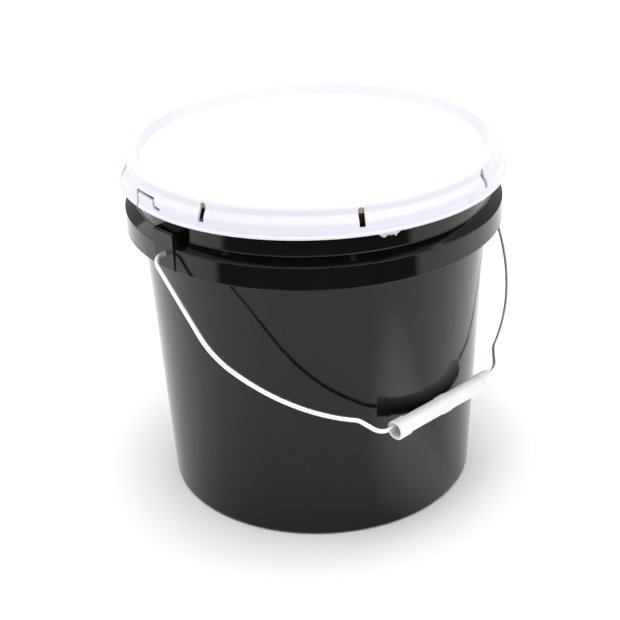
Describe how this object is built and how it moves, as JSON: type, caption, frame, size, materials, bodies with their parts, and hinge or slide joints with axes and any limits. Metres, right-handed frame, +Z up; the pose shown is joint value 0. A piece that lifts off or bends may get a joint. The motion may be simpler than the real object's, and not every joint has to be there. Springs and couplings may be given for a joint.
{
  "type": "plastic fermenting bucket",
  "caption": "Tapered lidded plastic pail for fermenting or storing liquids, with a press-on gasketed lid and a swinging wire bail with a tube grip.",
  "frame": {"origin": "centre of the foot, on the surface the pail stands on", "axes": "+Z up the pail's axis; X runs through both ears, along the bail's pivot; the bail hangs on the -Y side"},
  "size_m": [0.2716, 0.25, 0.2374],
  "materials": {
    "black_plastic": "glossy moulded black polyethylene",
    "white_lid_plastic": "smooth moulded white polyethylene",
    "gasket_rubber": "matte soft rubber",
    "bright_wire": "bright zinc plated steel wire",
    "white_grip_plastic": "smooth white plastic tube"
  },
  "bodies": {
    "pail": {"pail": "black_plastic"},
    "lid": {"lid": "white_lid_plastic", "lid_gasket": "gasket_rubber"},
    "bail": {"bail_wire": "bright_wire"},
    "grip": {"grip": "white_grip_plastic"}
  },
  "joints": [
    {"name": "lid_lift", "type": "slide", "parent": "pail", "child": "lid", "axis": [0, 0, 1], "range_m": [0, 0.2]},
    {"name": "bail_swing", "type": "hinge", "parent": "pail", "child": "bail", "pos_m": [0, 0, 0.1957], "axis": [-1, 0, 0], "range_deg": [0, 268.5]},
    {"name": "grip_roll", "type": "hinge", "parent": "bail", "child": "grip", "pos_m": [0, -0.114, 0.08364], "axis": [1, 0, 0], "continuous": true}
  ]
}
